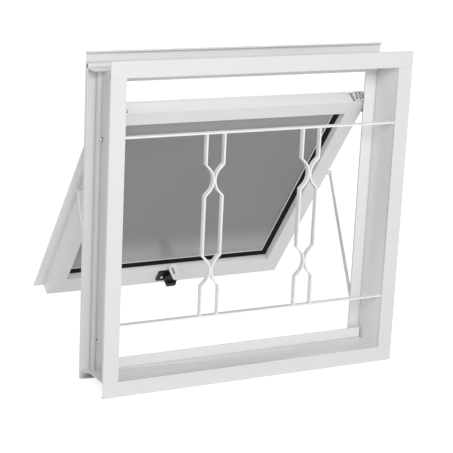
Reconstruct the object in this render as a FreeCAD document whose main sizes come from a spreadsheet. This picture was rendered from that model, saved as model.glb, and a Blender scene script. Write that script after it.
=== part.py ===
import FreeCAD, Part
import math
import os
import Sketcher

os.makedirs("parts", exist_ok=True)
doc = FreeCAD.newDocument("TopHungWindow")

# Driving dimensions, millimetres and degrees.
# Across the wall X runs to the right seen from the room, Y runs from the room outwards, Z up.
# Depths are counted from the room face of the casing, heights from the lower outline of the frame.
SIZES = [
    ("frame_width", 600.0, "outline of the frame, side to side"),
    ("frame_height", 600.0, "outline of the frame, bottom to top"),
    ("frame_depth", 114.0, "room face of the casing to the outer face of the rear flange"),
    ("face", 29.0, "width of the casing face, outline to reveal"),
    ("wall", 1.6, "wall of the frame extrusions"),
    ("casing_plate", 1.8, "thickness of the casing face"),
    ("casing_return", 7.0, "depth of the casing's outer return"),
    ("nose", 6.0, "depth of the casing's inner nose"),
    ("tongue", 24.0, "depth to which the frame's clip tongue reaches"),
    ("stop_back", 41.0, "room side of the jamb's stop lip to the outer face"),
    ("cross_back", 51.0, "room side of the head's and the sill's stop lip to the outer face"),
    ("stop_return", 2.3, "depth of a stop lip with its return"),
    ("jamb_lip", 24.0, "projection of the jamb's stop lip"),
    ("head_lip", 17.0, "projection of the head's stop lip"),
    ("sill_lip", 20.5, "height of the sill's upstand"),
    ("lip_gap", 4.8, "end of the head's and the sill's stop lip to the jamb"),
    ("box_width", 12.5, "depth of the rear box"),
    ("box_out", 20.0, "outline to the outer wall of the rear box"),
    ("sill_fall", 13.5, "drop of the sill floor towards the outside, behind the upstand"),
    ("edge_lip", 10.0, "depth of the lip on the rear flange"),
    ("datum_depth", 61.2, "depth of the origin under the sill"),
    ("side_gap", 13.0, "reveal to the side of the sash"),
    ("top_gap", 5.0, "reveal to the top of the closed sash"),
    ("bottom_gap", 9.0, "reveal to the bottom of the closed sash"),
    ("sash_face", 33.0, "face width of the top rail and the stiles"),
    ("bottom_face", 43.0, "face width of the bottom rail"),
    ("sash_tube", 14.5, "depth of the hollow chamber on the room side"),
    ("sash_back", 22.9, "depth to the inside of the outer flange"),
    ("sash_wall", 1.5, "wall of the sash extrusions"),
    ("rebate", 21.6, "outside of the sash to the bottom of the glazing rebate"),
    ("sight", 37.0, "outside of the sash to the edge of the outer flange"),
    ("side_lap", 21.0, "lap of the stile's outer flange over the frame"),
    ("top_lip", 3.0, "height of the outer flange over the top rail"),
    ("lap_start", 36.0, "distance from the sash top to where the side lap begins"),
    ("notch", 27.5, "width of the corner notch in the sash top"),
    ("block_gap", 3.0, "corner block to the end of the top rail"),
    ("block_proud", 4.0, "height of the corner block over the top rail"),
    ("notch_drop", 26.0, "height of the corner notch in the sash top"),
    ("glass", 4.0, "glass thickness"),
    ("glass_in", 24.0, "outside of the sash to the edge of the glass"),
    ("gasket_in", 42.7, "outside of the sash to the inner edge of the gasket"),
    ("sash_angle", 36.5, "opening angle of the sash"),
    ("pivot_back", 16.5, "slide track and jamb pivots to the outer face"),
    ("arm_share", 0.5208, "stay arm, pivot to pivot, as a share of the sash height"),
    ("shoe_drop", 17.5, "sash top to the shoe pivot"),
    ("shoe_in", 6.0, "room face of the sash to the pivots"),
    ("shoe_length", 26.0, "height of the slide shoe"),
    ("shoe_depth", 20.0, "depth of the slide shoe"),
    ("shoe_corner", 2.0, "chamfer of the slide shoe"),
    ("shoe_gap", 1.5, "side of the sash to the slide shoe"),
    ("shoe_play", 0.4, "slide shoe to the jamb"),
    ("shoe_pin", 3.0, "radius of the pin that carries the sash corner"),
    ("shoe_stem", 11.0, "length of the pin that carries the sash corner"),
    ("drop_share", 0.4072, "sash top to the stay arm's pivot, as a share of the sash height"),
    ("arm_width", 9.0, "width of the stay arm"),
    ("arm_gap", 1.0, "stay arm to the jamb"),
    ("arm_thick", 2.0, "thickness of the stay arm"),
    ("stop_share", 0.1932, "closed shoe down to the stop screw, as a share of the sash height"),
    ("bar_thick", 3.0, "thickness of the grille bars"),
    ("bar_depth", 12.0, "depth of the grille bars"),
    ("bar_front", 1.0, "room face of the casing to the grille's front"),
    ("bar_share", 0.31, "middle height to a cross bar, as a share of the clear height"),
    ("pair_share", 0.178, "middle of the window to the middle of a bar pair, as a share of the clear width"),
    ("pair_half", 17.4, "middle of a pair to the middle of its bars"),
    ("motif_share", 0.494, "middle height to the middle of a waist, as a share of the cross bar's"),
    ("motif_half", 28.5, "middle of a waist to its bends"),
    ("pin_radius", 2.5, "shank of the pivots and stop screws"),
    ("head_radius", 4.2, "heads of the pivots"),
    ("latch_width", 47.0, "width of the latch base"),
    ("latch_height", 30.0, "height of the latch base"),
    ("latch_plate", 3.0, "thickness of the latch base"),
    ("latch_corner", 3.0, "corner radius of the latch base"),
    ("hub_radius", 8.0, "radius of the latch hub"),
    ("hub_rise", 4.0, "height of the latch hub over its base"),
    ("latch_rise", 25.5, "bottom of the sash to the middle of the latch base"),
    ("hook_plate", 4.0, "thickness of the latch tongue"),
    ("hook_drop", 20.5, "middle of the latch base to the end of the tongue"),
    ("nose_height", 10.0, "height of the tongue's nose"),
    ("nose_depth", 5.0, "depth of the tongue's nose"),
    ("groove_deep", 4.2, "depth of the groove in the latch lever"),
    ("groove_start", 22.0, "middle of the lever's round end to the start of its groove"),
    ("lever_length", 37.0, "latch lever, hub to the middle of its round end"),
    ("lever_half", 10.0, "half the width of the latch lever"),
    ("lever_thick", 5.0, "thickness of the latch lever"),
    ("lever_tilt", 30.0, "lean of the latch lever"),
]

sheet = doc.addObject("Spreadsheet::Sheet", "Sizes")
for row, (alias, value, note) in enumerate(SIZES, start=1):
    sheet.set("A%d" % row, alias)
    sheet.set("B%d" % row, str(value))
    sheet.set("C%d" % row, note)
    sheet.setAlias("B%d" % row, alias)
doc.recompute()


class Dim:
    """A length or angle with the expression that gives it."""

    def __init__(self, value, text):
        self.value = float(value)
        self.text = text

    def __add__(self, other):
        other = dim(other)
        return Dim(self.value + other.value, "(%s + %s)" % (self.text, other.text))

    def __sub__(self, other):
        other = dim(other)
        return Dim(self.value - other.value, "(%s - %s)" % (self.text, other.text))

    def __mul__(self, other):
        other = dim(other)
        return Dim(self.value * other.value, "(%s * %s)" % (self.text, other.text))

    def __truediv__(self, other):
        other = dim(other)
        return Dim(self.value / other.value, "(%s / %s)" % (self.text, other.text))

    def __neg__(self):
        return self * -1.0

    def __radd__(self, other):
        return dim(other) + self

    def __rsub__(self, other):
        return dim(other) - self

    def __rmul__(self, other):
        return dim(other) * self


def dim(value):
    """Wraps a plain number as a Dim."""
    if isinstance(value, Dim):
        return value
    return Dim(value, "(%.6f)" % value)


def size(alias):
    """The driving dimension with this alias."""
    return Dim(sheet.get(alias), "Sizes." + alias)


def sine(angle):
    return Dim(math.sin(math.radians(angle.value)), "sin(%s)" % angle.text)


def cosine(angle):
    return Dim(math.cos(math.radians(angle.value)), "cos(%s)" % angle.text)


def root(number):
    return Dim(math.sqrt(number.value), "sqrt(%s)" % number.text)


def bind(obj, prop, value):
    """Sets a property to a value and keeps the expression behind it."""
    value = dim(value)
    obj.setExpression(prop, value.text)


width = size("frame_width")
height = size("frame_height")
depth = size("frame_depth")
face = size("face")
wall = size("wall")
half = width / 2.0
reveal = half - face
datum = size("datum_depth")
jamb_stop = depth - size("stop_back")
cross_stop = depth - size("cross_back")
pivot_depth = depth - size("pivot_back")
floor = face - wall
clear_width = width - 2.0 * face
clear_height = height - 2.0 * face
sash_half = reveal - size("side_gap")
sash_height = clear_height - size("top_gap") - size("bottom_gap")
pin = size("pin_radius")

# The stay: the shoe slides straight down while the arm swings out, so that the sash top drops
# as its bottom moves outwards. The shoe's and the jamb pivot's axes lie at the same depth, and
# arm and sash line up between them when the window is closed.
angle = size("sash_angle")
arm = size("arm_share") * sash_height
arm_drop = size("drop_share") * sash_height
link = arm_drop - size("shoe_drop")
closed_top = height - face - size("top_gap")
closed_shoe = closed_top - size("shoe_drop")
pivot_height = closed_top - arm_drop - arm
stop_height = closed_shoe - size("stop_share") * sash_height
lean = link * sine(angle) / arm
lean_cos = root(1.0 - lean * lean)
lean_angle = Dim(math.degrees(math.asin(lean.value)), "asin(%s)" % lean.text)
shoe_level = pivot_height + link * cosine(angle) + arm * lean_cos
sash_y = pivot_depth - size("shoe_drop") * sine(angle) - size("shoe_in") * cosine(angle)
sash_z = shoe_level + size("shoe_drop") * cosine(angle) - size("shoe_in") * sine(angle)
arm_out = reveal - size("arm_gap")
arm_in = arm_out - size("arm_thick")
nodes = []


def new_body(name):
    """A body whose label is the node's name."""
    body = doc.addObject("PartDesign::Body", name)
    body.Label = name
    nodes.append(body)
    return body


def place(obj, x, y, z, angle=None):
    """Places an object by frame coordinates; the origin is under the sill."""
    spot = [dim(x), dim(y) - datum, dim(z) - floor]
    turn = FreeCAD.Rotation()
    if angle is not None:
        turn = FreeCAD.Rotation(FreeCAD.Vector(1, 0, 0), angle.value)
    base = FreeCAD.Vector(spot[0].value, spot[1].value, spot[2].value)
    obj.Placement = FreeCAD.Placement(base, turn)
    for axis, value in zip("xyz", spot):
        bind(obj, "Placement.Base." + axis, value)
    if angle is not None:
        bind(obj, "Placement.Rotation.Angle", angle)


def new_sketch(body, plane, name, offset=0.0):
    """A sketch on one of the body's own planes, moved along the plane's normal."""
    sketch = body.newObject("Sketcher::SketchObject", name)
    for item in body.Origin.OriginFeatures:
        if item.Role == plane:
            sketch.AttachmentSupport = [(item, "")]
    sketch.MapMode = "FlatFace"
    offset = dim(offset)
    sketch.AttachmentOffset = FreeCAD.Placement(FreeCAD.Vector(0, 0, offset.value), FreeCAD.Rotation())
    if offset.value != 0.0:
        bind(sketch, "AttachmentOffset.Base.z", offset)
    return sketch


def pin_point(sketch, index, end, x, y):
    """Fixes a point of the sketch by its two coordinates."""
    for kind, value in (("DistanceX", x), ("DistanceY", y)):
        number = sketch.addConstraint(Sketcher.Constraint(kind, -1, 1, index, end, value.value))
        if not value.text.startswith("(0.000000)"):
            sketch.setExpression("Constraints[%d]" % number, value.text)


def outline(sketch, points):
    """A closed outline. Each point is x, y and, for an arc to the next point, its radius.

    A positive radius turns left on the way to the next point, a negative one turns right.
    """
    corners = [(dim(p[0]), dim(p[1]), dim(p[2]) if len(p) > 2 else None) for p in points]
    first = sketch.GeometryCount
    count = len(corners)
    starts = []
    for i, (x, y, radius) in enumerate(corners):
        nx, ny = corners[(i + 1) % count][:2]
        a = FreeCAD.Vector(x.value, y.value, 0)
        b = FreeCAD.Vector(nx.value, ny.value, 0)
        if radius is None:
            sketch.addGeometry(Part.LineSegment(a, b), False)
            starts.append((1, 2))
            continue
        size_of = abs(radius.value)
        middle = (a + b) * 0.5
        chord = b - a
        rise = math.sqrt(max(size_of ** 2 - (chord.Length / 2.0) ** 2, 0.0))
        left = FreeCAD.Vector(-chord.y, chord.x, 0).normalize()
        centre = middle + left * (rise if radius.value > 0 else -rise)
        start = math.atan2(a.y - centre.y, a.x - centre.x)
        finish = math.atan2(b.y - centre.y, b.x - centre.x)
        circle = Part.Circle(centre, FreeCAD.Vector(0, 0, 1), size_of)
        if radius.value > 0:
            sketch.addGeometry(Part.ArcOfCircle(circle, start, finish), False)
            starts.append((1, 2))
        else:
            sketch.addGeometry(Part.ArcOfCircle(circle, finish, start), False)
            starts.append((2, 1))
    for i in range(count):
        j = (i + 1) % count
        join = Sketcher.Constraint("Coincident", first + i, starts[i][1], first + j, starts[j][0])
        sketch.addConstraint(join)
    for i, (x, y, radius) in enumerate(corners):
        pin_point(sketch, first + i, starts[i][0], x, y)
        if radius is None:
            continue
        nx, ny = corners[(i + 1) % count][:2]
        chord = math.hypot(nx.value - x.value, ny.value - y.value)
        if abs(chord - 2.0 * abs(radius.value)) < 1e-6:
            level = abs(nx.value - x.value) > abs(ny.value - y.value)
            kind = "DistanceY" if level else "DistanceX"
            middle = (y + ny) / 2.0 if level else (x + nx) / 2.0
            number = sketch.addConstraint(Sketcher.Constraint(kind, -1, 1, first + i, 3, middle.value))
            sketch.setExpression("Constraints[%d]" % number, middle.text)
        else:
            length = radius if radius.value > 0 else -radius
            number = sketch.addConstraint(Sketcher.Constraint("Radius", first + i, length.value))
            sketch.setExpression("Constraints[%d]" % number, length.text)


def box_outline(sketch, x0, y0, x1, y1):
    outline(sketch, [(x0, y0), (x1, y0), (x1, y1), (x0, y1)])


def disc(sketch, x, y, radius):
    """A circle fixed by its centre and radius."""
    x, y, radius = dim(x), dim(y), dim(radius)
    circle = Part.Circle(FreeCAD.Vector(x.value, y.value, 0), FreeCAD.Vector(0, 0, 1), radius.value)
    index = sketch.addGeometry(circle, False)
    pin_point(sketch, index, 3, x, y)
    number = sketch.addConstraint(Sketcher.Constraint("Radius", index, radius.value))
    sketch.setExpression("Constraints[%d]" % number, radius.text)


def pad(body, sketch, length, both=False, back=False):
    feature = body.newObject("PartDesign::Pad", sketch.Name + "_pad")
    feature.Profile = sketch
    feature.Length = dim(length).value
    bind(feature, "Length", length)
    if both:
        feature.Midplane = True
    if back:
        feature.Reversed = True
    body.Tip = feature
    doc.recompute()
    return feature


def pocket(body, sketch, length=None, back=False, both=False):
    """A cut. Without a length it goes through everything."""
    feature = body.newObject("PartDesign::Pocket", sketch.Name + "_cut")
    feature.Profile = sketch
    if length is None:
        feature.Type = 1
    else:
        feature.Length = dim(length).value
        bind(feature, "Length", length)
    if both:
        feature.Midplane = True
    if back:
        feature.Reversed = True
    body.Tip = feature
    doc.recompute()
    return feature


def frame_profile(lip, stop):
    """Section of the frame extrusion as (distance in from the outline, depth) pairs."""
    inner = face
    outer = face - wall
    out = size("box_out")
    front = depth - size("box_width")
    back = depth - wall
    tongue = size("tongue")
    nose = size("nose")
    plate = size("casing_plate")
    turn = stop + size("stop_return")
    edge = depth - size("edge_lip")
    body = [
        (outer - wall, plate), (outer, plate), (outer, nose), (inner, nose),
        (inner, stop), (inner + lip, stop), (inner + lip, turn), (inner + lip - wall, turn),
        (inner + lip - wall, stop + wall), (inner, stop + wall), (inner, depth), (dim(0), depth),
        (dim(0), edge), (wall, edge), (wall, back), (out, back),
        (out, front), (outer, front), (outer, tongue), (outer - wall, tongue),
    ]
    hollow = [(out + wall, front + wall), (outer, front + wall), (outer, back), (out + wall, back)]
    return body, hollow


def sill_profile():
    """Section of the sill: its floor is level to the upstand and falls away to the outside."""
    body, hollow = frame_profile(size("sill_lip"), cross_stop)
    foot = cross_stop + wall
    fall = size("sill_fall")
    front = depth - size("box_width")
    high = [(face - fall, front), (face - fall, depth)]
    low = [(face - wall - fall, depth - wall), (face - wall - fall, front), (face - wall, foot)]
    return [body[:10] + high + body[11:15] + low + body[18:]]


def make_jamb(name, side):
    """A side member between sill and head, bored for the stay's pivot and the stop screw."""
    body = new_body(name)
    place(body, 0, 0, face)
    fall = size("sill_fall")
    sketch = new_sketch(body, "XY_Plane", name + "_section", -fall)
    for loop in frame_profile(size("jamb_lip"), jamb_stop):
        outline(sketch, [(side * (half - u), v) for u, v in loop])
    pad(body, sketch, clear_height + fall)
    foot = new_sketch(body, "YZ_Plane", name + "_foot")
    start = cross_stop + wall
    front = depth - size("box_width")
    outline(foot, [(-1.0, 0.0), (-1.0, -fall - 1.0), (front, -fall - 1.0), (front, -fall), (start, 0.0)])
    pocket(body, foot, both=True)
    holes = new_sketch(body, "YZ_Plane", name + "_holes")
    for level in (pivot_height, stop_height):
        disc(holes, pivot_depth, level - face, pin)
    pocket(body, holes, both=True)
    return body


def make_cross_member(name, top):
    """The head or the sill, full width; its stop lip runs between the jambs, before theirs."""
    body = new_body(name)
    level = height if top else dim(0)
    place(body, 0, 0, level)
    way = -1.0 if top else 1.0
    lip = size("head_lip") if top else size("sill_lip")
    sketch = new_sketch(body, "YZ_Plane", name + "_section")
    for loop in frame_profile(lip, cross_stop) if top else sill_profile():
        outline(sketch, [(v, way * u) for u, v in loop])
    pad(body, sketch, width, both=True)
    cope = new_sketch(body, "XZ_Plane", name + "_cope")
    web = half - face + wall
    for side in (-1.0, 1.0):
        box_outline(cope, side * (reveal - size("lip_gap")), way * (face + lip + 1.0),
                    side * (half + 1.0), way * face)
    pocket(body, cope, both=True)
    trim = new_sketch(body, "XY_Plane", name + "_trim")
    reach = jamb_stop + wall if top else size("tongue") + 1.0
    for side in (-1.0, 1.0):
        box_outline(trim, side * web, 0.0, side * (half + 1.0), reach)
    if top:
        pocket(body, trim, both=True)
    else:
        pocket(body, trim, face - wall, back=True)
    return body


def casing_profile():
    """Section of the clip-on casing as (distance in from the outline, depth) pairs."""
    plate = size("casing_plate")
    turn = size("casing_return")
    nose = size("nose")
    return [(dim(0), dim(0)), (face, dim(0)), (face, nose), (face - wall, nose),
            (face - wall, plate), (plate, plate), (plate, turn), (dim(0), turn)]


def make_casing(name, axis, side):
    """One face strip of the casing; the upper and lower strips run over the side strips."""
    body = new_body(name)
    if axis == "X":
        place(body, 0, 0, height if side > 0 else dim(0))
        sketch = new_sketch(body, "YZ_Plane", name + "_section")
        outline(sketch, [(v, -side * u) for u, v in casing_profile()])
        pad(body, sketch, width, both=True)
    else:
        place(body, 0, 0, face)
        sketch = new_sketch(body, "XY_Plane", name + "_section")
        outline(sketch, [(side * (half - u), v) for u, v in casing_profile()])
        pad(body, sketch, clear_height)
    return body


bar_height = size("bar_share") * clear_height
motif_offset = size("motif_share") * bar_height


def make_cross_bar(name, side):
    """A straight flat bar between the side casings."""
    body = new_body(name)
    place(body, 0, size("bar_front"), height / 2.0 + side * bar_height)
    sketch = new_sketch(body, "YZ_Plane", name + "_section")
    bar = size("bar_thick")
    box_outline(sketch, 0.0, -bar / 2.0, size("bar_depth"), bar / 2.0)
    pad(body, sketch, 2.0 * reveal, both=True)
    return body


def bar_side(offset, side, reverse):
    """Edge of a bent bar at an offset from its middle line, from the upper to the lower end."""
    bar = size("bar_thick")
    away = size("pair_half")
    waist = size("motif_half")
    end = bar_height - bar / 2.0
    slope = math.sqrt(0.5)
    radius = (waist - away + bar / 2.0) / (2.0 * slope - 1.0)
    bend = math.tan(math.radians(22.5))
    x_bend = away + offset
    z_bend = waist - offset * bend
    x_arc = bar / 2.0 + radius * (1.0 - slope) + offset * slope
    z_arc = radius * slope - offset * slope
    arc = radius - offset
    points = [(x_bend, end)]
    for middle in (motif_offset, -motif_offset):
        points.append((x_bend, middle + z_bend))
        points.append((x_arc, middle + z_arc, arc))
        points.append((x_arc, middle - z_arc))
        points.append((x_bend, middle - z_bend))
    points.append((x_bend, -end))
    out = []
    for i, point in enumerate(points):
        x = side * point[0]
        if len(point) > 2:
            out.append((x, point[1], side * point[2]))
        else:
            out.append((x, point[1]))
    if reverse:
        turned = []
        for i in range(len(out) - 1, -1, -1):
            x, z = out[i][:2]
            before = out[i - 1] if i > 0 else None
            if before is not None and len(before) > 2:
                turned.append((x, z, -before[2]))
            else:
                turned.append((x, z))
        return turned
    return out


def make_bent_bar(name, pair, side):
    """A flat bar with two waists, where it touches its neighbour."""
    body = new_body(name)
    place(body, pair * size("pair_share") * clear_width, size("bar_front"), height / 2.0)
    sketch = new_sketch(body, "XZ_Plane", name + "_outline")
    bar = size("bar_thick")
    outer = bar_side(bar / 2.0, side, False)
    inner = bar_side(-bar / 2.0, side, True)
    outline(sketch, outer + inner)
    pad(body, sketch, size("bar_depth"), back=True)
    return body


def place_sash(obj):
    """The sash's own frame: origin at the middle of its upper room-side edge."""
    place(obj, 0, sash_y, sash_z, angle)


def sash_profile(face_width, lap, rebate, sight):
    """Section of a sash member as (distance in from its outside, depth) pairs."""
    skin = size("sash_wall")
    tube = size("sash_tube")
    back = size("sash_back")
    out = [(dim(0), dim(0)), (face_width, dim(0)), (face_width, tube), (rebate, tube),
           (rebate, back), (sight, back), (sight, back + skin)]
    if lap is None:
        out.append((dim(0), back + skin))
    else:
        out += [(-lap, back + skin), (-lap, back), (dim(0), back)]
    room = [(skin, skin), (face_width - skin, skin), (face_width - skin, tube - skin), (skin, tube - skin)]
    rear = [(skin, tube), (rebate - skin, tube), (rebate - skin, back), (skin, back)]
    return [out, room, rear]


def notch_corners(body, name, sides):
    """Removes the upper corners behind the room face, where the corner blocks sit."""
    sketch = new_sketch(body, "XZ_Plane", name + "_notch", -size("sash_wall"))
    for side in sides:
        x0 = side * (sash_half - size("notch"))
        box_outline(sketch, x0, -size("notch_drop"), side * (sash_half + 1.0), size("top_lip") + 1.0)
    pocket(body, sketch)


def make_stile(name, side):
    body = new_body(name)
    place_sash(body)
    sketch = new_sketch(body, "XY_Plane", name + "_section")
    loops = sash_profile(size("sash_face"), size("side_lap"), size("rebate"), size("sight"))
    for loop in loops:
        outline(sketch, [(side * (sash_half - p), n) for p, n in loop])
    pad(body, sketch, sash_height, back=True)
    mitre = new_sketch(body, "XZ_Plane", name + "_mitre")
    out = sash_half + size("side_lap") + 1.0
    deep = 2.0 * size("sash_face")
    outline(mitre, [(side * (sash_half - deep), 1.0), (side * (sash_half - deep), -deep),
                    (side * sash_half, 0.0), (side * sash_half, -size("lap_start")),
                    (side * out, -size("lap_start")), (side * out, 1.0)])
    pocket(body, mitre, both=True)
    notch_corners(body, name, [side])
    return body


def make_top_rail(name):
    body = new_body(name)
    place_sash(body)
    sketch = new_sketch(body, "YZ_Plane", name + "_section")
    for loop in sash_profile(size("sash_face"), size("top_lip"), size("rebate"), size("sight")):
        outline(sketch, [(n, -p) for p, n in loop])
    pad(body, sketch, 2.0 * sash_half, both=True)
    mitre = new_sketch(body, "XZ_Plane", name + "_mitre")
    deep = 2.0 * size("sash_face")
    for side in (-1.0, 1.0):
        outline(mitre, [(side * sash_half, 0.0), (side * (sash_half - deep), -deep),
                        (side * (sash_half + 1.0), -deep), (side * (sash_half + 1.0), 0.0)])
    pocket(body, mitre, both=True)
    notch_corners(body, name, (-1.0, 1.0))
    return body


def make_bottom_rail(name):
    """The deeper lower rail, butted between the stiles."""
    body = new_body(name)
    place_sash(body)
    sketch = new_sketch(body, "YZ_Plane", name + "_section")
    extra = size("bottom_face") - size("sash_face")
    loops = sash_profile(size("bottom_face"), None, size("rebate") + extra, size("sight") + extra)
    for loop in loops:
        outline(sketch, [(n, p - sash_height) for p, n in loop])
    inner = sash_half - size("sash_face")
    pad(body, sketch, 2.0 * inner, both=True)
    trim = new_sketch(body, "XZ_Plane", name + "_trim", -size("sash_back"))
    for side in (-1.0, 1.0):
        box_outline(trim, side * (sash_half - size("sight")), -sash_height - 1.0,
                    side * (inner + 1.0), 2.0 * size("bottom_face") - sash_height)
    pocket(body, trim)
    return body


def inset(sketch, amount):
    """A rectangle in from the sash's outside; the bottom rail is deeper than the others."""
    extra = size("bottom_face") - size("sash_face")
    amount = dim(amount)
    box_outline(sketch, amount - sash_half, amount + extra - sash_height, sash_half - amount, -amount)


def make_glass(name):
    body = new_body(name)
    place_sash(body)
    front = size("sash_back") - 0.4 - size("glass")
    sketch = new_sketch(body, "XZ_Plane", name + "_outline", -front)
    inset(sketch, size("glass_in"))
    pad(body, sketch, size("glass"), back=True)
    return body


def make_gasket(name):
    """The channel gasket round the glass, with its sloping sight face on the room side."""
    body = new_body(name)
    place_sash(body)
    tube = size("sash_tube")
    back = size("sash_back")
    front = back - 0.4 - size("glass")
    ring = new_sketch(body, "XZ_Plane", name + "_ring", -tube)
    inset(ring, size("rebate"))
    pad(body, ring, back - tube, back=True)
    slope = new_sketch(body, "XZ_Plane", name + "_slope", -tube)
    inset(slope, size("sash_face") + 1.0)
    rise = front - tube - 0.9
    run = size("gasket_in") - size("sash_face") - 1.0
    cut = pocket(body, slope, rise)
    cut.TaperAngle = -math.degrees(math.atan2(run.value, rise.value))
    cut.setExpression("TaperAngle", "-atan2(%s; %s)" % (run.text, rise.text))
    doc.recompute()
    window = new_sketch(body, "XZ_Plane", name + "_window", -tube)
    inset(window, size("gasket_in"))
    pocket(body, window, front - tube)
    slot = new_sketch(body, "XZ_Plane", name + "_slot", -front)
    inset(slot, size("glass_in"))
    pocket(body, slot, size("glass"))
    outside = new_sketch(body, "XZ_Plane", name + "_outside", -(back - 0.4))
    inset(outside, size("sight"))
    pocket(body, outside, 0.4)
    return body


def make_corner_block(name, side):
    """Nylon block in the upper corner of the sash, webbed on top and bored for the shoe's pin."""
    body = new_body(name)
    place_sash(body)
    skin = size("sash_wall")
    back = size("sash_back")
    drop = size("notch_drop")
    proud = size("block_proud")
    inner = sash_half - size("notch") + size("block_gap")
    sketch = new_sketch(body, "XZ_Plane", name + "_outline", -skin)
    box_outline(sketch, side * inner, -drop, side * sash_half, proud)
    pad(body, sketch, back - skin, back=True)
    cells = new_sketch(body, "XY_Plane", name + "_cells", proud)
    near = skin + 1.5
    far = back - 1.5
    low = inner + 1.5
    high = sash_half - 1.5
    step = (high - low) / 3.0
    for k in range(3):
        left = low + step * float(k)
        right = low + step * float(k + 1)
        middle = (left + right) / 2.0
        outline(cells, [
            (side * (left + 1.6), near), (side * (right - 1.6), near), (side * middle, far - 3.5)])
    for k in range(2):
        left = low + step * (k + 0.5)
        right = low + step * (k + 1.5)
        middle = (left + right) / 2.0
        outline(cells, [(side * (left + 1.6), far), (side * (right - 1.6), far), (side * middle, near + 3.5)])
    pocket(body, cells, 10.0)
    bore = new_sketch(body, "YZ_Plane", name + "_bore")
    disc(bore, size("shoe_in"), -size("shoe_drop"), size("shoe_pin"))
    pocket(body, bore, both=True)
    return body


def make_shoe(name, side):
    """Nylon shoe sliding in the jamb, with the pin that carries the sash corner."""
    body = new_body(name)
    place(body, 0, pivot_depth, shoe_level)
    inner = sash_half + size("shoe_gap")
    outer = reveal - size("shoe_play")
    high = size("shoe_length") / 2.0
    deep = size("shoe_depth") / 2.0
    cut = size("shoe_corner")
    sketch = new_sketch(body, "YZ_Plane", name + "_outline", side * inner)
    outline(sketch, [(-deep, cut - high), (cut - deep, -high), (deep - cut, -high), (deep, cut - high),
                     (deep, high - cut), (deep - cut, high), (cut - deep, high), (-deep, high - cut)])
    pad(body, sketch, outer - inner, back=side < 0)
    stem = new_sketch(body, "YZ_Plane", name + "_pin", side * inner)
    disc(stem, 0.0, 0.0, size("shoe_pin"))
    pad(body, stem, size("shoe_stem"), back=side > 0)
    return body


def make_arm(name, side):
    """Flat stay arm with round ends, from the jamb pivot to the sash stile."""
    body = new_body(name)
    place(body, 0, pivot_depth, pivot_height, -lean_angle)
    sketch = new_sketch(body, "YZ_Plane", name + "_outline", side * arm_in)
    wide = size("arm_width") / 2.0
    outline(sketch, [(wide, 0.0), (wide, arm, wide), (-wide, arm), (-wide, 0.0, wide)])
    disc(sketch, 0.0, 0.0, pin)
    disc(sketch, 0.0, arm, pin)
    pad(body, sketch, size("arm_thick"), back=side < 0)
    return body


def stepped_pin(body, name, side, start, steps):
    """A turned pin along X; each step is (length, radius), counted outwards from start."""
    profile = [(side * start, dim(0))]
    reach = start
    for length, radius in steps:
        profile.append((side * reach, dim(radius)))
        reach = reach + length
        profile.append((side * reach, dim(radius)))
    profile.append((side * reach, dim(0)))
    sketch = new_sketch(body, "XZ_Plane", name + "_half")
    outline(sketch, profile)
    turned = body.newObject("PartDesign::Revolution", name + "_turned")
    turned.Profile = sketch
    turned.ReferenceAxis = (sketch, ["H_Axis"])
    turned.Angle = 360.0
    body.Tip = turned
    doc.recompute()


def make_jamb_pivot(name, side):
    body = new_body(name)
    place(body, 0, pivot_depth, pivot_height)
    head = size("head_radius")
    stepped_pin(body, name, side, arm_in - 1.6, [
        (1.6, head), (size("arm_thick"), pin), (reveal - arm_out, head), (wall, pin)])
    return body


def make_sash_pivot(name, side):
    body = new_body(name)
    place(body, 0, pivot_depth + arm * lean, pivot_height + arm * lean_cos)
    head = size("head_radius")
    stepped_pin(body, name, side, sash_half, [
        (arm_in - sash_half, head), (size("arm_thick"), pin), (1.6, head)])
    return body


def make_stop_screw(name, side):
    body = new_body(name)
    place(body, 0, pivot_depth, stop_height)
    stepped_pin(body, name, side, reveal - 4.0, [(4.0, size("head_radius")), (wall, pin)])
    return body


latch_level = size("latch_rise") - sash_height
hub_x = 12.5
hub_z = latch_level + 9.5


def make_latch_base(name):
    """Black base screwed to the middle of the bottom rail, with its raised hub."""
    body = new_body(name)
    place_sash(body)
    left = -1.5 - size("latch_width") / 2.0
    right = -1.5 + size("latch_width") / 2.0
    low = latch_level - size("latch_height") / 2.0
    high = latch_level + size("latch_height") / 2.0
    sketch = new_sketch(body, "XZ_Plane", name + "_plate")
    cut = size("latch_corner")
    outline(sketch, [
        (left, low + cut, cut), (left + cut, low), (right - cut, low, cut), (right, low + cut),
        (right, high - cut, cut), (right - cut, high), (left + cut, high, cut), (left, high - cut)])
    pad(body, sketch, size("latch_plate"))
    hub = new_sketch(body, "XZ_Plane", name + "_hub")
    disc(hub, hub_x, hub_z, size("hub_radius"))
    pad(body, hub, size("latch_plate") + size("hub_rise"))
    return body


def make_latch_hook(name):
    """Black cam tongue on the hub; its nose catches behind the sill's upstand."""
    body = new_body(name)
    place_sash(body)
    front = size("latch_plate") + size("hub_rise")
    sketch = new_sketch(body, "XZ_Plane", name + "_plate", front)
    tip = latch_level - size("hook_drop")
    top = tip + size("nose_height")
    side_x = size("hub_radius") + hub_x
    outline(sketch, [(-11.0, latch_level + 8.0), (-11.0, latch_level - 6.0), (-7.0, tip + 6.5),
                     (-3.0, tip), (14.0, tip), (18.0, tip + 6.5),
                     (side_x, latch_level - 1.0), (side_x, latch_level + 12.0),
                     (-5.0, latch_level + 12.0)])
    plate = size("hook_plate")
    pad(body, sketch, plate)
    nose = new_sketch(body, "XZ_Plane", name + "_nose", front + plate)
    outline(nose, [(-3.0, tip), (14.0, tip), (17.0, tip + 5.0), (16.0, top), (-4.5, top), (-5.2, tip + 3.5)])
    pad(body, nose, size("nose_depth"))
    return body


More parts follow.
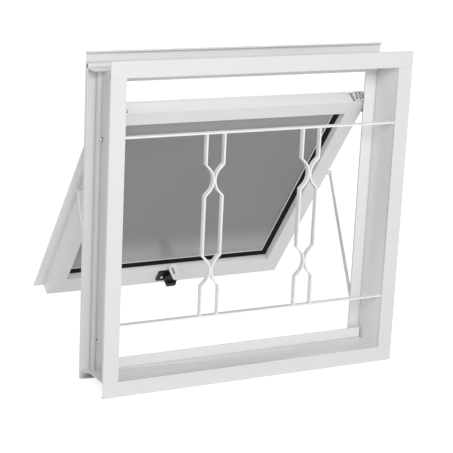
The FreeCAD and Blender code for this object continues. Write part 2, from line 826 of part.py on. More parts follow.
def make_latch_lever(name):
    """White lever on the hub, grooved along its face."""
    body = new_body(name)
    place_sash(body)
    front = size("latch_plate") + size("hub_rise") + size("hook_plate")
    tilt = size("lever_tilt")
    wide = size("lever_half")
    long = size("lever_length")
    across = (cosine(tilt), sine(tilt))
    along = (-sine(tilt), cosine(tilt))

    def at(u, v):
        return (hub_x + across[0] * u + along[0] * v, hub_z + across[1] * u + along[1] * v)

    sketch = new_sketch(body, "XZ_Plane", name + "_outline", front)
    outline(sketch, [at(wide, 0.0), (*at(wide, long), wide), at(-wide, long), (*at(-wide, 0.0), wide)])
    pad(body, sketch, size("lever_thick"))
    groove = new_sketch(body, "XZ_Plane", name + "_groove", front + size("lever_thick"))
    start = long - size("groove_start")
    outline(groove, [at(-4.1, start), at(-1.1, start), at(-1.1, long + 5.0), at(-4.1, long + 5.0)])
    pocket(body, groove, size("groove_deep"))
    return body


make_cross_member("frame_sill", False)
make_cross_member("frame_head", True)
make_jamb("left_jamb", -1.0)
make_jamb("right_jamb", 1.0)
make_casing("sill_casing", "X", -1.0)
make_casing("head_casing", "X", 1.0)
make_casing("left_casing", "Z", -1.0)
make_casing("right_casing", "Z", 1.0)
make_cross_bar("grille_top_bar", 1.0)
make_cross_bar("grille_bottom_bar", -1.0)
make_bent_bar("grille_left_outer_bar", -1.0, -1.0)
make_bent_bar("grille_left_inner_bar", -1.0, 1.0)
make_bent_bar("grille_right_inner_bar", 1.0, -1.0)
make_bent_bar("grille_right_outer_bar", 1.0, 1.0)
make_top_rail("sash_top_rail")
make_bottom_rail("sash_bottom_rail")
make_stile("sash_left_stile", -1.0)
make_stile("sash_right_stile", 1.0)
make_glass("glass_pane")
make_gasket("glazing_gasket")
for word, side in (("left", -1.0), ("right", 1.0)):
    make_corner_block(word + "_corner_block", side)
    make_shoe(word + "_slide_shoe", side)
    make_arm(word + "_stay_arm", side)
    make_jamb_pivot(word + "_jamb_pivot", side)
    make_sash_pivot(word + "_sash_pivot", side)
    make_stop_screw(word + "_stop_screw", side)
make_latch_base("latch_base")
make_latch_hook("latch_hook")
make_latch_lever("latch_lever")

doc.recompute()
for obj in doc.Objects:
    if "Invalid" in obj.State or "Error" in obj.State:
        raise RuntimeError("not computed: %s %s" % (obj.Name, obj.State))
for node in nodes:
    shape = node.Shape
    if shape.isNull() or not shape.isValid() or len(shape.Solids) != 1:
        raise RuntimeError("bad shape: %s, %d solids" % (node.Label, len(shape.Solids)))
    shape.exportStep("parts/%s.step" % node.Label)
    box = shape.BoundBox
    print("%-26s %9.1f mm3  x %7.1f %7.1f  y %6.1f %6.1f  z %6.1f %6.1f" % (
        node.Label, shape.Volume, box.XMin, box.XMax, box.YMin, box.YMax, box.ZMin, box.ZMax))
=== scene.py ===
import math

import bmesh
import bpy
from bpy.props import FloatProperty, FloatVectorProperty, PointerProperty
from mathutils import Matrix, Vector


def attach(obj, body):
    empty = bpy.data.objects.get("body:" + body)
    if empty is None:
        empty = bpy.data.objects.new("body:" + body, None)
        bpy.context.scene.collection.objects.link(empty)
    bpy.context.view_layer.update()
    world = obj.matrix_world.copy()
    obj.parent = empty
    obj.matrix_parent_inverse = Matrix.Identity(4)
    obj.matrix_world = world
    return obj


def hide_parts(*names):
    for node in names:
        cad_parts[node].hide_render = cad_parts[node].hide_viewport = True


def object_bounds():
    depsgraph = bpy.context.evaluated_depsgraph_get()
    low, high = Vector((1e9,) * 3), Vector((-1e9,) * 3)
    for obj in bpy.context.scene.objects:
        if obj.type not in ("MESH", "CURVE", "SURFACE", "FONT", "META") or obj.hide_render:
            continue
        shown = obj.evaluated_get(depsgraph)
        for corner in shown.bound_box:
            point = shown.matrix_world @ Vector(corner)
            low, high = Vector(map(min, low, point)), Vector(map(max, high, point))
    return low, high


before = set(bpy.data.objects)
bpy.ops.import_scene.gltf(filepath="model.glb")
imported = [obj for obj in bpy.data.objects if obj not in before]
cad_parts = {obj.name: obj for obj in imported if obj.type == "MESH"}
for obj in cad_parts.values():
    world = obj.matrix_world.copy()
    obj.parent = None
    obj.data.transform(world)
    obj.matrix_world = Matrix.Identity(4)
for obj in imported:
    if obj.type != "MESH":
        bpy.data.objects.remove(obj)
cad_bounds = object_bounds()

bl_info = {
    "name": "Top hung awning window",
    "version": (1, 0, 0),
    "blender": (4, 5, 0),
    "location": "View3D > Sidebar > Window",
    "description": "Finishes and small parts of a top hung awning window with a bar grille",
    "category": "Object",
}

MM = 0.001
FRAME_NODES = ("frame_sill", "frame_head", "left_jamb", "right_jamb")
CASING_NODES = ("sill_casing", "head_casing", "left_casing", "right_casing")
GRILLE_NODES = (
    "grille_top_bar", "grille_bottom_bar", "grille_left_outer_bar", "grille_left_inner_bar",
    "grille_right_inner_bar", "grille_right_outer_bar")
SASH_NODES = ("sash_top_rail", "sash_bottom_rail", "sash_left_stile", "sash_right_stile")
SIDES = ((-1.0, "left_"), (1.0, "right_"))

# Unless a comment says otherwise, the bare numbers below are millimetres.
# Opening angle in degrees, and the middle of the open sash's top edge on its room face.
# SASH turns sash coordinates (X across, Y through, Z down from that edge) into window coordinates.
SASH_ANGLE = 36.5
SASH_TOP = (0.0, 21.067 * MM, 466.502 * MM)
SASH = Matrix.Translation(SASH_TOP) @ Matrix.Rotation(math.radians(SASH_ANGLE), 4, "X")

# Camera fitted to the photograph: its place and lens, and its turns in degrees
CAMERA_PLACE = (-1294.3, -2397.1, 985.2)
CAMERA_AZIMUTH = -27.655
CAMERA_TILT = 15.173
CAMERA_ROLL = 2.71
CAMERA_LENS = 122.06

# Softbox: its direction from the window in degrees, distance and width in metres, power in watts
SOFTBOX = {"azimuth": -16.5, "height": 26.0, "distance": 4.0, "width": 1.4, "power": 76.0}
SOFTBOX_AIM = (0.0, 0.05, 0.25)

# Strengths of the white set: bounced light, what the camera sees of the world, and the floor's shares
AMBIENT = 0.47
BACKDROP = 1.0
FLOOR_BOUNCE = (0.9, 0.9, 0.9, 1.0)
FLOOR_LIT = (0.6, 0.6, 0.6, 1.0)
FLOOR_GLOW = 0.78

# Crimped lug on the left and the right of the head: outer size, middle, corner radius, width of its rim
# and depth of its mouth
LUG_SIZE = (3.8, 11.0, 14.5)
LUG_PLACE = (274.1, 5.2, 536.1)
LUG_CORNER = 4.5
LUG_RIM = 2.5
LUG_MOUTH = 3.2

# Middles of the grille's bars: across for the upright ones, height for the two cross bars with the side
# on which the weld dabs lie, and depth for all of them
BAR_PLACES = (-113.9, -79.1, 79.1, 113.9)
CROSS_LEVELS = ((440.6, -1.0), (104.6, 1.0))
BAR_DEPTH = -54.2

# Weld dabs: half their depth and height, and how far they lie from the middle of the cross bar
DAB_DEPTH = 6.3
DAB_HEIGHT = 1.4
DAB_DROP = 2.2

# Inner edge of the gasket in sash coordinates: half width, upper and lower end, and depth of the glass
GASKET_HALF = 215.3
GASKET_TOP = 42.7
GASKET_FOOT = 475.3
GLASS_DEPTH = 18.2

# Screws in the jambs: outer face of the jambs, depth, and heights of the pivot and of the stop screw
JAMB_FACE = 272.6
JAMB_SCREW_DEPTH = 36.3
PIVOT_LEVEL = 48.616
STOP_LEVEL = 419.09

# Screws of the latch in sash coordinates: across, face of the base, height
LATCH_SCREWS = (-14.7, 17.0)
LATCH_FACE = -3.0
LATCH_LEVEL = -506.5


def linear(code):
    """sRGB hex colour to linear red, green and blue."""
    out = []
    for start in (1, 3, 5):
        value = int(code[start:start + 2], 16) / 255.0
        out.append(value / 12.92 if value <= 0.04045 else ((value + 0.055) / 1.055) ** 2.4)
    return tuple(out)


class WindowSizes(bpy.types.PropertyGroup):
    """Sizes of the small parts and of the softened edges."""

    section_edge: FloatProperty(
        name="Section edge", description="Radius on the corners of the extruded sections",
        unit="LENGTH", min=0.0001, max=0.001, default=0.35 * MM)
    bar_edge: FloatProperty(
        name="Bar edge", description="Radius on the rolled corners of the grille's flat bar",
        unit="LENGTH", min=0.0001, max=0.0015, default=0.7 * MM)
    latch_edge: FloatProperty(
        name="Latch edge", description="Radius on the moulded edges of the latch",
        unit="LENGTH", min=0.0001, max=0.0015, default=0.6 * MM)
    screw_head: FloatProperty(
        name="Screw head", description="Radius of the pan head screws",
        unit="LENGTH", min=0.001, max=0.006, default=3.3 * MM)
    weld_bead: FloatProperty(
        name="Weld dab", description="Half width of the weld dabs on the grille",
        unit="LENGTH", min=0.001, max=0.006, default=3.4 * MM)
    bead_width: FloatProperty(
        name="Sealing line", description="Width of the silicone line between glass and gasket",
        unit="LENGTH", min=0.0005, max=0.004, default=2.8 * MM)


class WindowFinish(bpy.types.PropertyGroup):
    """Colours of the window's finishes."""

    coat: FloatVectorProperty(
        name="Frame coat", description="White powder coat on the head, sill and jambs",
        subtype="COLOR", size=3, min=0.0, max=1.0, default=linear("#eaeae9"))
    # Painted shade: the white powder coat made darker on the casing, so that it looks less lit than the
    # frame.
    casing_coat_painted_dim: FloatVectorProperty(
        name="Casing coat", description="White powder coat on the clip-on casing",
        subtype="COLOR", size=3, min=0.0, max=1.0, default=linear("#e5e5e4"))
    bar_coat: FloatVectorProperty(
        name="Grille coat", description="White powder coat on the flat bars",
        subtype="COLOR", size=3, min=0.0, max=1.0, default=linear("#f9f9f8"))
    # Painted light: the white powder coat made brighter on the sash and the lugs, so that they look more
    # lit than the frame.
    sash_coat_painted_bright: FloatVectorProperty(
        name="Sash coat", description="White powder coat on the sash, a little brighter than the frame's",
        subtype="COLOR", size=3, min=0.0, max=1.0, default=linear("#f7f7f6"))
    pane: FloatVectorProperty(
        name="Pane", description="Body colour of the obscure glass",
        subtype="COLOR", size=3, min=0.0, max=1.0, default=linear("#8f8f8f"))
    rubber: FloatVectorProperty(
        name="Gasket", description="Glazing gasket",
        subtype="COLOR", size=3, min=0.0, max=1.0, default=linear("#101010"))
    nylon: FloatVectorProperty(
        name="Nylon", description="Corner blocks and slide shoes",
        subtype="COLOR", size=3, min=0.0, max=1.0, default=linear("#e6e6e4"))
    steel: FloatVectorProperty(
        name="Steel", description="Zinc plated stays, pivots and screws",
        subtype="COLOR", size=3, min=0.0, max=1.0, default=linear("#f6f6f4"))
    screw: FloatVectorProperty(
        name="Jamb screws", description="Dull zinc plate of the screws in the jambs",
        subtype="COLOR", size=3, min=0.0, max=1.0, default=linear("#5c5c5a"))
    black: FloatVectorProperty(
        name="Latch body", description="Black base and tongue of the latch",
        subtype="COLOR", size=3, min=0.0, max=1.0, default=linear("#111111"))
    white: FloatVectorProperty(
        name="Lever", description="White lever of the latch",
        subtype="COLOR", size=3, min=0.0, max=1.0, default=linear("#f8f8f7"))


def node(tree, kind, settings=None, inputs=None):
    """Adds a node; an input is a value or another node's output socket."""
    item = tree.nodes.new(kind)
    for key, value in (settings or {}).items():
        setattr(item, key, value)
    for key, value in (inputs or {}).items():
        if isinstance(value, bpy.types.NodeSocket):
            tree.links.new(value, item.inputs[key])
        else:
            item.inputs[key].default_value = value
    return item


def new_material(name, inputs=None):
    """A material with a Principled shader, and the object coordinates for its textures."""
    material = bpy.data.materials.new(name)
    material.use_nodes = True
    tree = material.node_tree
    tree.nodes.clear()
    output = tree.nodes.new("ShaderNodeOutputMaterial")
    shader = node(tree, "ShaderNodeBsdfPrincipled", None, inputs)
    tree.links.new(shader.outputs["BSDF"], output.inputs["Surface"])
    where = node(tree, "ShaderNodeTexCoord").outputs["Object"]
    return material, tree, shader, where


def shade(color, factor):
    """The colour made darker or brighter, with full alpha."""
    return (*[min(1.0, c * factor) for c in color], 1.0)


def noise(tree, where, size_mm, detail=2.0):
    """Noise whose waves are size_mm apart."""
    return node(tree, "ShaderNodeTexNoise", None,
                {"Vector": where, "Scale": 1.0 / (size_mm * MM), "Detail": detail})


def blend(tree, factor, low, high):
    """Mixes two colours, each a value or another node's output socket."""
    mix = node(tree, "ShaderNodeMix", {"data_type": "RGBA"}, {"Factor": factor, 6: low, 7: high})
    return mix.outputs[2]


def smooth_step(tree, value, start, end, low=0.0, high=1.0):
    """Rises smoothly from low to high while the value goes from start to end."""
    step = node(tree, "ShaderNodeMapRange", {"interpolation_type": "SMOOTHSTEP"},
                {"Value": value, "From Min": start, "From Max": end, "To Min": low, "To Max": high})
    return step.outputs["Result"]


def glossed(tree, shader, cloud, rough):
    """Lets soft clouds drive the roughness between two values."""
    gloss = node(tree, "ShaderNodeMapRange", None,
                 {"Value": cloud.outputs["Fac"], "To Min": rough[0], "To Max": rough[1]})
    tree.links.new(gloss.outputs["Result"], shader.inputs["Roughness"])


def mottled(tree, shader, where, size_mm, low, high, rough):
    """Soft clouds of the given size drive the base colour and the roughness between two values."""
    cloud = noise(tree, where, size_mm, 3.0)
    cloud.inputs["Roughness"].default_value = 0.55
    tree.links.new(blend(tree, cloud.outputs["Fac"], low, high), shader.inputs["Base Color"])
    glossed(tree, shader, cloud, rough)


def grained(tree, shader, where, size_mm, strength, detail=2.0):
    """Bumps the surface with fine noise whose waves are size_mm apart."""
    grain = noise(tree, where, size_mm, detail)
    bump = node(tree, "ShaderNodeBump", None,
                {"Height": grain.outputs["Fac"], "Strength": strength, "Distance": 0.1 * MM})
    tree.links.new(bump.outputs["Normal"], shader.inputs["Normal"])


def painted_crease_shade(tree, shader, reach_mm, low, alone=False):
    """Paints shade into the colour: darkens it in inside corners and seams, as far as the space round
    them is closed off.
    """
    source = shader.inputs["Base Color"].links[0].from_socket
    crease_shade = node(tree, "ShaderNodeAmbientOcclusion", {"samples": 8, "only_local": alone},
                  {"Distance": reach_mm * MM})
    # painted shade: the occlusion value scales the base colour down
    depth = smooth_step(tree, crease_shade.outputs["AO"], 0.3, 0.95, low, 1.0)
    mix = node(tree, "ShaderNodeVectorMath", {"operation": "SCALE"}, {0: source, "Scale": depth})
    tree.links.new(mix.outputs["Vector"], shader.inputs["Base Color"])


def powder_coat(name, color, peel_mm=2.0, crease_shade=(6.0, 0.6, True)):
    """Polyester powder coat, sprayed and baked: glossy white, with a faint orange peel.

    The peel's waves are about 2 mm apart on the sections; the clouds are thickness changes
    of the coat some 60 mm across, which give its sheen a slow change.
    """
    material, tree, shader, where = new_material(name, {"IOR": 1.5, "Specular IOR Level": 0.5})
    mottled(tree, shader, where, 60.0, shade(color, 0.975), shade(color, 1.0), (0.18, 0.26))
    # painted shade in inside corners and seams, set by the reach and depth in crease_shade
    painted_crease_shade(tree, shader, *crease_shade)
    grained(tree, shader, where, peel_mm, 0.06)
    return material


def painted_light_ends(tree, where):
    """Mask of the painted light on the pane: rises from 0 to 1 between two distances from the sash's top
    edge, at either end of the pane.
    """
    turned = node(tree, "ShaderNodeMapping", {"vector_type": "POINT"},
                  {"Vector": where, "Rotation": (math.radians(-SASH_ANGLE), 0.0, 0.0)})
    apart = node(tree, "ShaderNodeSeparateXYZ", None, {"Vector": turned.outputs["Vector"]})
    top = (SASH.inverted() @ Vector((0.0, 0.0, 0.0))).z
    ends = [smooth_step(tree, apart.outputs["Z"], -start * MM - top, -end * MM - top)
            for start, end in ((105.0, 45.0), (380.0, 480.0))]
    return node(tree, "ShaderNodeMath", {"operation": "MAXIMUM"}, {0: ends[0], 1: ends[1]}).outputs[0]


def obscure_glass(name, color):
    """Rolled obscure glass: a grey body that lets little through, one face finely pebbled.

    The pebbles are 1.5 mm apart; the rolls leave slow waves some 40 mm across in the sheen.
    Painted light: the base colour is made paler towards the pane's upper and lower end.
    """
    material, tree, shader, where = new_material(name, {"IOR": 1.5, "Specular IOR Level": 0.35})
    cloud = noise(tree, where, 120.0)
    body = blend(tree, cloud.outputs["Fac"], shade(color, 0.95), shade(color, 1.03))
    # painted light: the base colour made 1.75 times brighter at the pane's ends
    pale = blend(tree, painted_light_ends(tree, where), body, shade(color, 1.75))
    tree.links.new(pale, shader.inputs["Base Color"])
    glossed(tree, shader, cloud, (0.2, 0.3))
    rolled = noise(tree, where, 40.0, 1.0)
    waves = node(tree, "ShaderNodeBump", None,
                 {"Height": rolled.outputs["Fac"], "Strength": 0.05, "Distance": 1.0 * MM})
    pebble = node(tree, "ShaderNodeTexVoronoi", {"feature": "SMOOTH_F1"},
                  {"Vector": where, "Scale": 1.0 / (1.5 * MM)})
    bump = node(tree, "ShaderNodeBump", None,
                {"Height": pebble.outputs["Distance"], "Normal": waves.outputs["Normal"],
                 "Strength": 0.10, "Distance": 0.2 * MM})
    tree.links.new(bump.outputs["Normal"], shader.inputs["Normal"])
    return material


def rubber_compound(name, color):
    """EPDM rubber, extruded: near black, dull, with die lines about 0.5 mm apart and a dusty bloom."""
    material, tree, shader, where = new_material(name, {"IOR": 1.52, "Specular IOR Level": 0.18})
    mottled(tree, shader, where, 12.0, shade(color, 0.75), shade(color, 1.3), (0.55, 0.75))
    grained(tree, shader, where, 0.5, 0.2)
    return material


def moulded(name, color, rough, grain_mm, specular=0.5):
    """Injection moulding: even colour, a fine spark eroded grain, faint flow clouds 8 mm across; painted
    shade in recesses and seams.
    """
    material, tree, shader, where = new_material(name, {"IOR": 1.53, "Specular IOR Level": specular})
    sheen = (rough - 0.05, rough + 0.05)
    mottled(tree, shader, where, 8.0, shade(color, 0.95), shade(color, 1.03), sheen)
    # painted shade in recesses and seams, reaching 5 mm
    painted_crease_shade(tree, shader, 5.0, 0.35)
    grained(tree, shader, where, grain_mm, 0.18, 3.0)
    return material


def zinc_plate(name, color, metallic=0.25):
    """Zinc plated steel, passivated: a pale, chalky metal with 5 mm clouds and 0.4 mm scratches."""
    material, tree, shader, where = new_material(name, {"Metallic": metallic})
    mottled(tree, shader, where, 5.0, shade(color, 0.82), shade(color, 1.02), (0.3, 0.48))
    along = node(tree, "ShaderNodeMapping", None, {"Vector": where, "Scale": (1.0, 1.0, 0.06)})
    grained(tree, shader, along.outputs["Vector"], 0.4, 0.12)
    return material


def sealing_silicone(name):
    """Neutral cure silicone, tooled by hand: milky, slightly glossy, uneven every 6 mm."""
    material, tree, shader, where = new_material(name, {"IOR": 1.41})
    milky = linear("#f2f2f1")
    mottled(tree, shader, where, 6.0, shade(milky, 0.92), shade(milky, 1.03), (0.25, 0.4))
    return material


def finish_piece(name, shape, material, replaced=(), smooth=50.0):
    """Turns a bmesh into a piece of the object that rides on the window's one body."""
    mesh = bpy.data.meshes.new(name)
    shape.normal_update()
    shape.to_mesh(mesh)
    shape.free()
    for face in mesh.polygons:
        face.use_smooth = True
    mesh.set_sharp_from_angle(angle=math.radians(smooth))
    piece = bpy.data.objects.new(name, mesh)
    bpy.context.scene.collection.objects.link(piece)
    mesh.materials.append(material)
    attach(piece, "root")
    if replaced:
        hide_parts(*replaced)
    return piece


def softened(name, radius, material, segments=2):
    """A copy of a CAD node with its sharp corners rounded, which stands for that node."""
    shape = bmesh.new()
    shape.from_mesh(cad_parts[name].data)
    bmesh.ops.remove_doubles(shape, verts=shape.verts, dist=0.00002)
    bmesh.ops.dissolve_limit(
        shape, angle_limit=math.radians(0.5), use_dissolve_boundaries=False,
        verts=shape.verts, edges=shape.edges)
    piece = finish_piece(name + "_finished", shape, material, (name,))
    edge = piece.modifiers.new("rounded edges", "BEVEL")
    edge.width = radius
    edge.segments = segments
    edge.limit_method = "ANGLE"
    edge.angle_limit = math.radians(40.0)
    edge.harden_normals = True
    edge.use_clamp_overlap = True
    return piece


def extruded(shape, edges):
    """Extrudes a loop of edges in place and gives the new loop's vertices and edges."""
    made = bmesh.ops.extrude_edge_only(shape, edges=edges)["geom"]
    verts = [v for v in made if isinstance(v, bmesh.types.BMVert)]
    loop = [e for e in made if isinstance(e, bmesh.types.BMEdge) and all(v in verts for v in e.verts)]
    return verts, loop


def screw_head(shape, radius, rise, place):
    """A pan head with a cross recess: a domed ring round a sunk cross, facing +Z before placing."""
    arm = 0.55 * radius
    slim = 0.16 * radius
    ring = bmesh.ops.create_circle(shape, segments=24, radius=radius)["verts"]
    rim, loop = extruded(shape, list({e for v in ring for e in v.link_edges}))
    for vert in rim:
        vert.co.z = 0.45 * rise
    crown, loop = extruded(shape, loop)
    for vert in crown:
        vert.co.x *= 0.72
        vert.co.y *= 0.72
        vert.co.z = rise
    cross, loop = extruded(shape, loop)
    for vert in cross:
        x, y = vert.co.x, vert.co.y
        long_x = abs(x) >= abs(y)
        vert.co.x = math.copysign(arm if long_x else slim, x)
        vert.co.y = math.copysign(slim if long_x else arm, y)
        if abs(abs(x) - abs(y)) < 0.12 * radius:
            vert.co.x = math.copysign(slim, x)
            vert.co.y = math.copysign(slim, y)
    floor, loop = extruded(shape, loop)
    for vert in floor:
        vert.co.z = 0.35 * rise
    bmesh.ops.contextual_create(shape, geom=loop)
    bmesh.ops.transform(shape, matrix=place, verts=[*ring, *rim, *crown, *cross, *floor])


class AWNING_OT_stage(bpy.types.Operator):
    """Camera, lamp, world and floor."""

    bl_idname = "awning.stage"
    bl_label = "Camera, light and floor"

    def execute(self, context):
        self.camera(context)
        self.lamp(context, "softbox", **SOFTBOX)
        self.world(context)
        self.floor(context)
        context.scene.view_settings.view_transform = "Standard"
        return {"FINISHED"}

    def away(self, azimuth, height):
        """Unit vector from the window towards a direction given in degrees."""
        turn = math.radians(azimuth)
        tilt = math.radians(height)
        return Vector((math.sin(turn) * math.cos(tilt), -math.cos(turn) * math.cos(tilt), math.sin(tilt)))

    def camera(self, context):
        """Camera of the photograph, with the slight roll of the picture."""
        azimuth = math.radians(CAMERA_AZIMUTH)
        roll = math.radians(CAMERA_ROLL)
        back = self.away(CAMERA_AZIMUTH, CAMERA_TILT)
        right = Vector((math.cos(azimuth), math.sin(azimuth), 0.0))
        up = back.cross(right)
        turned_right = math.cos(roll) * right + math.sin(roll) * up
        turned_up = -math.sin(roll) * right + math.cos(roll) * up
        data = bpy.data.cameras.new("camera")
        data.lens = CAMERA_LENS
        data.sensor_width = 36.0
        camera = bpy.data.objects.new("camera", data)
        context.scene.collection.objects.link(camera)
        turn = Matrix((turned_right, turned_up, back)).transposed().to_4x4()
        camera.matrix_world = Matrix.Translation(Vector(CAMERA_PLACE) * MM) @ turn
        context.scene.camera = camera

    def lamp(self, context, name, azimuth, height, distance, width, power):
        """Square area lamp that faces the window."""
        data = bpy.data.lights.new(name, "AREA")
        data.size = width
        data.energy = power
        lamp = bpy.data.objects.new(name, data)
        away = self.away(azimuth, height)
        lamp.location = Vector(SOFTBOX_AIM) + distance * away
        lamp.rotation_euler = away.to_track_quat("Z", "Y").to_euler()
        context.scene.collection.objects.link(lamp)

    def seen(self, tree):
        """1 where the camera, a reflection or a see-through ray looks, 0 where only light bounces."""
        path = node(tree, "ShaderNodeLightPath")
        first = node(tree, "ShaderNodeMath", {"operation": "MAXIMUM"},
                     {0: path.outputs["Is Camera Ray"], 1: path.outputs["Is Glossy Ray"]})
        both = node(tree, "ShaderNodeMath", {"operation": "MAXIMUM"},
                    {0: first.outputs[0], 1: path.outputs["Is Transmission Ray"]})
        return both.outputs[0]

    def world(self, context):
        """White to the eye and in reflections, dimmer as bounced light."""
        world = bpy.data.worlds.new("studio")
        world.use_nodes = True
        tree = world.node_tree
        tree.nodes.clear()
        output = node(tree, "ShaderNodeOutputWorld")
        ambient = node(tree, "ShaderNodeBackground", None, {"Color": (1, 1, 1, 1), "Strength": AMBIENT})
        white = node(tree, "ShaderNodeBackground", None, {"Color": (1, 1, 1, 1), "Strength": BACKDROP})
        mix = node(tree, "ShaderNodeMixShader", None,
                   {0: self.seen(tree), 1: ambient.outputs[0], 2: white.outputs[0]})
        tree.links.new(mix.outputs[0], output.inputs["Surface"])
        context.scene.world = world

    def floor(self, context):
        """White floor: the camera sees it white, with the window's shadow laid over it."""
        mesh = bpy.data.meshes.new("floor")
        shape = bmesh.new()
        bmesh.ops.create_grid(shape, x_segments=1, y_segments=1, size=30.0)
        bmesh.ops.translate(shape, verts=shape.verts, vec=(0.0, 0.0, cad_bounds[0][2] - 0.0005))
        shape.to_mesh(mesh)
        shape.free()
        floor = bpy.data.objects.new("floor", mesh)
        context.scene.collection.objects.link(floor)
        material = bpy.data.materials.new("white studio floor")
        material.use_nodes = True
        tree = material.node_tree
        tree.nodes.clear()
        output = node(tree, "ShaderNodeOutputMaterial")
        bounce = node(tree, "ShaderNodeBsdfDiffuse", None, {"Color": FLOOR_BOUNCE})
        lit = node(tree, "ShaderNodeBsdfDiffuse", None, {"Color": FLOOR_LIT})
        glow = node(tree, "ShaderNodeEmission", None, {"Color": (1, 1, 1, 1), "Strength": FLOOR_GLOW})
        look = node(tree, "ShaderNodeAddShader", None, {0: lit.outputs[0], 1: glow.outputs[0]})
        mix = node(tree, "ShaderNodeMixShader", None,
                   {0: self.seen(tree), 1: bounce.outputs[0], 2: look.outputs[0]})
        tree.links.new(mix.outputs[0], output.inputs["Surface"])
        mesh.materials.append(material)


class AWNING_OT_sections(bpy.types.Operator):
    """Frame, casing and sash sections with rounded corners and powder coat."""

    bl_idname = "awning.sections"
    bl_label = "Frame, casing and sash"

    def execute(self, context):
        look = context.scene.window_finish
        edge = context.scene.window_sizes.section_edge
        # painted shade in the corners of every coat; on the sash it reaches 12 mm, so it also paints a
        # shadow on the rail round the latch
        frame_coat = powder_coat("white powder coat", look.coat)
        # painted light: brighter copy of the white coat for the sash
        sash_coat_painted_bright = powder_coat("white powder coat painted bright", look.sash_coat_painted_bright, 2.0, (12.0, 0.78, False))
        # painted shade: darker copy of the white coat for the casing
        casing_coat_painted_dim = powder_coat("white powder coat on casing", look.casing_coat_painted_dim, 2.0, (3.0, 0.9, True))
        groups = (
            (FRAME_NODES, "frame_paint", frame_coat),
            (CASING_NODES, "casing_paint", casing_coat_painted_dim),
            (SASH_NODES, "sash_paint", sash_coat_painted_bright))
        for names, slot, coat in groups:
            for name in names:
                softened(name, 2.0 * edge if names is SASH_NODES else edge, coat)
        return {"FINISHED"}


class AWNING_OT_lugs(bpy.types.Operator):
    """Open crimped lugs that hold the head on the jambs, on the outside of the frame."""

    bl_idname = "awning.lugs"
    bl_label = "Corner lugs"

    def execute(self, context):
        look = context.scene.window_finish
        # painted shade: strong darkening, down to a tenth, in the lug's mouth and where it meets the jamb
        coat = powder_coat("white powder coat on lugs", look.sash_coat_painted_bright, 1.0, (8.0, 0.1, True))
        shape = bmesh.new()
        for side, _ in SIDES:
            plate = bmesh.ops.create_cube(shape, size=1.0)["verts"]
            bmesh.ops.scale(shape, verts=plate, vec=Vector(LUG_SIZE) * MM)
            across = [
                e for e in {e for v in plate for e in v.link_edges}
                if abs((e.verts[0].co - e.verts[1].co).x) > 1.0 * MM]
            bmesh.ops.bevel(
                shape, geom=across, offset=LUG_CORNER * MM, offset_type="OFFSET", segments=5,
                profile=0.5, affect="EDGES", material=-1)
            moved = [v for v in shape.verts if abs(v.co.x) < 0.5 * LUG_PLACE[0] * MM]
            place = Vector((side * LUG_PLACE[0], LUG_PLACE[1], LUG_PLACE[2])) * MM
            bmesh.ops.translate(shape, verts=moved, vec=place)
            mouth = max(shape.faces, key=lambda face: side * face.calc_center_median().x)
            bmesh.ops.inset_region(shape, faces=[mouth], thickness=LUG_RIM * MM)
            bmesh.ops.translate(shape, verts=mouth.verts, vec=(-side * LUG_MOUTH * MM, 0.0, 0.0))
        finish_piece("frame_corner_lugs", shape, coat, smooth=35.0)
        return {"FINISHED"}


class AWNING_OT_grille(bpy.types.Operator):
    """Grille of bent flat bar with weld dabs at its joints."""

    bl_idname = "awning.grille"
    bl_label = "Bar grille"

    def execute(self, context):
        look = context.scene.window_finish
        sizes = context.scene.window_sizes
        # painted shade in the bars' corners and where they meet
        coat = powder_coat("white powder coat on flat bar", look.bar_coat, 1.2, (4.0, 0.85, True))
        for name in GRILLE_NODES:
            softened(name, sizes.bar_edge, coat)
        shape = bmesh.new()
        size = (sizes.weld_bead, DAB_DEPTH * MM, DAB_HEIGHT * MM)
        for place in BAR_PLACES:
            for level, way in CROSS_LEVELS:
                spot = Vector((place, BAR_DEPTH, level + way * DAB_DROP)) * MM
                dab = bmesh.ops.create_icosphere(shape, subdivisions=3, radius=1.0)["verts"]
                bmesh.ops.scale(shape, verts=dab, vec=size)
                bmesh.ops.translate(shape, verts=dab, vec=spot)
        finish_piece("grille_weld_dabs", shape, coat)
        return {"FINISHED"}


class AWNING_OT_glazing(bpy.types.Operator):
    """Pane, gasket and the silicone line between them."""

    bl_idname = "awning.glazing"
    bl_label = "Glass and gasket"

    def execute(self, context):
        look = context.scene.window_finish
        width = context.scene.window_sizes.bead_width
        softened("glass_pane", 0.4 * MM, obscure_glass("obscure glass", look.pane))
        softened("glazing_gasket", 0.3 * MM, rubber_compound("EPDM rubber", look.rubber))
        shape = bmesh.new()
        across = 2.0 * GASKET_HALF * MM
        tall = (GASKET_FOOT - GASKET_TOP) * MM
        middle = -0.5 * (GASKET_FOOT + GASKET_TOP) * MM
        bmesh.ops.create_grid(shape, x_segments=1, y_segments=1, size=0.5)
        bmesh.ops.scale(shape, verts=shape.verts, vec=(across, tall, 1.0))
        inner = list(shape.faces)
        bmesh.ops.inset_region(shape, faces=inner, thickness=width, use_boundary=True)
        bmesh.ops.delete(shape, geom=inner, context="FACES")
        bmesh.ops.solidify(shape, geom=list(shape.faces), thickness=1.0 * MM)
        upright = Matrix.Rotation(math.radians(90.0), 3, "X")
        bmesh.ops.rotate(shape, verts=shape.verts, cent=(0, 0, 0), matrix=upright)
        depth = sum(v.co.y for v in shape.verts) / len(shape.verts)
        bmesh.ops.translate(shape, verts=shape.verts, vec=(0.0, GLASS_DEPTH * MM - depth, middle))
        bmesh.ops.transform(shape, verts=shape.verts, matrix=SASH)
        bmesh.ops.recalc_face_normals(shape, faces=shape.faces)
        bead = finish_piece("glass_sealing_line", shape, sealing_silicone("clear silicone"))
        edge = bead.modifiers.new("rounded edges", "BEVEL")
        edge.width = 0.4 * MM
        edge.segments = 3
        edge.limit_method = "ANGLE"
        return {"FINISHED"}


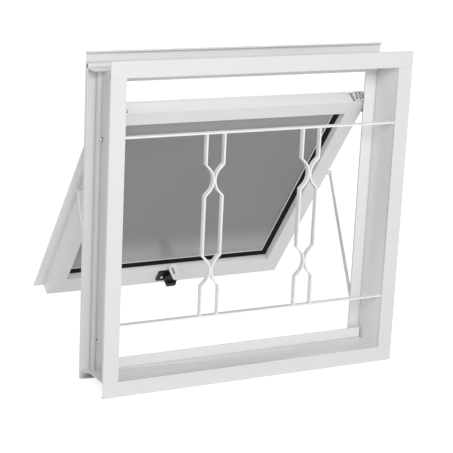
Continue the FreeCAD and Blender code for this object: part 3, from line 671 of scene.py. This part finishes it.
class AWNING_OT_stays(bpy.types.Operator):
    """Stay arms, slide shoes, corner blocks and the screws that hold them."""

    bl_idname = "awning.stays"
    bl_label = "Stays and shoes"

    def execute(self, context):
        look = context.scene.window_finish
        sizes = context.scene.window_sizes
        steel = zinc_plate("zinc plated steel", look.steel)
        nylon = moulded("moulded nylon", look.nylon, 0.5, 0.6)
        heads = bmesh.new()
        washers = bmesh.new()
        for side, word in SIDES:
            for part in ("corner_block", "slide_shoe"):
                softened(word + part, 0.4 * MM, nylon)
            for part in ("stay_arm", "jamb_pivot", "sash_pivot", "stop_screw"):
                softened(word + part, 0.3 * MM, steel)
            stop = self.outside(side, STOP_LEVEL)
            pivot = self.outside(side, PIVOT_LEVEL)
            screw_head(heads, 0.9 * sizes.screw_head, 4.2 * MM, stop)
            screw_head(washers, 1.25 * sizes.screw_head, 0.9 * MM, stop)
            screw_head(washers, 0.6 * sizes.screw_head, 1.2 * MM, pivot)
        finish_piece("jamb_screw_heads", heads, steel, smooth=35.0)
        dull = zinc_plate("dull zinc plated screw", look.screw, 0.6)
        finish_piece("jamb_screw_washers", washers, dull, smooth=35.0)
        return {"FINISHED"}

    def outside(self, side, level):
        """Place on a jamb's outer face, facing away from the window."""
        spot = Vector((side * JAMB_FACE, JAMB_SCREW_DEPTH, level)) * MM
        return Matrix.Translation(spot) @ Matrix.Rotation(math.radians(90.0 * side), 4, "Y")


class AWNING_OT_latch(bpy.types.Operator):
    """Cam latch with its lever and two screws."""

    bl_idname = "awning.latch"
    bl_label = "Latch"

    def execute(self, context):
        look = context.scene.window_finish
        sizes = context.scene.window_sizes
        black = moulded("black moulded ABS", look.black, 0.5, 0.5, 0.25)
        white = moulded("white moulded ABS", look.white, 0.34, 0.7)
        softened("latch_base", sizes.latch_edge, black)
        softened("latch_hook", sizes.latch_edge, black)
        softened("latch_lever", 1.4 * MM, white, 4)
        shape = bmesh.new()
        turn = Matrix.Rotation(math.radians(90.0), 4, "X") @ Matrix.Rotation(math.radians(20.0), 4, "Z")
        for across in LATCH_SCREWS:
            face = Matrix.Translation(Vector((across, LATCH_FACE, LATCH_LEVEL)) * MM)
            screw_head(shape, 0.85 * sizes.screw_head, 1.3 * MM, SASH @ face @ turn)
        steel = zinc_plate("zinc plated screw", look.steel)
        finish_piece("latch_screws", shape, steel, smooth=35.0)
        return {"FINISHED"}


class AWNING_PT_panel(bpy.types.Panel):
    """The window's operators, sizes and finishes."""

    bl_label = "Awning window"
    bl_idname = "AWNING_PT_panel"
    bl_space_type = "VIEW_3D"
    bl_region_type = "UI"
    bl_category = "Window"

    def draw(self, context):
        for step in STEPS:
            self.layout.operator(step.bl_idname)
        for key in WindowSizes.__annotations__:
            self.layout.prop(context.scene.window_sizes, key)
        for key in WindowFinish.__annotations__:
            self.layout.prop(context.scene.window_finish, key)


STEPS = (
    AWNING_OT_stage, AWNING_OT_sections, AWNING_OT_lugs, AWNING_OT_grille,
    AWNING_OT_glazing, AWNING_OT_stays, AWNING_OT_latch)
CLASSES = (WindowSizes, WindowFinish, *STEPS, AWNING_PT_panel)


def register():
    for item in CLASSES:
        bpy.utils.register_class(item)
    bpy.types.Scene.window_sizes = PointerProperty(type=WindowSizes)
    bpy.types.Scene.window_finish = PointerProperty(type=WindowFinish)


def unregister():
    del bpy.types.Scene.window_finish
    del bpy.types.Scene.window_sizes
    for item in reversed(CLASSES):
        bpy.utils.unregister_class(item)


def main():
    register()
    bpy.ops.awning.stage()
    bpy.ops.awning.sections()
    bpy.ops.awning.lugs()
    bpy.ops.awning.grille()
    bpy.ops.awning.glazing()
    bpy.ops.awning.stays()
    bpy.ops.awning.latch()


if __name__ == "__main__":
    main()
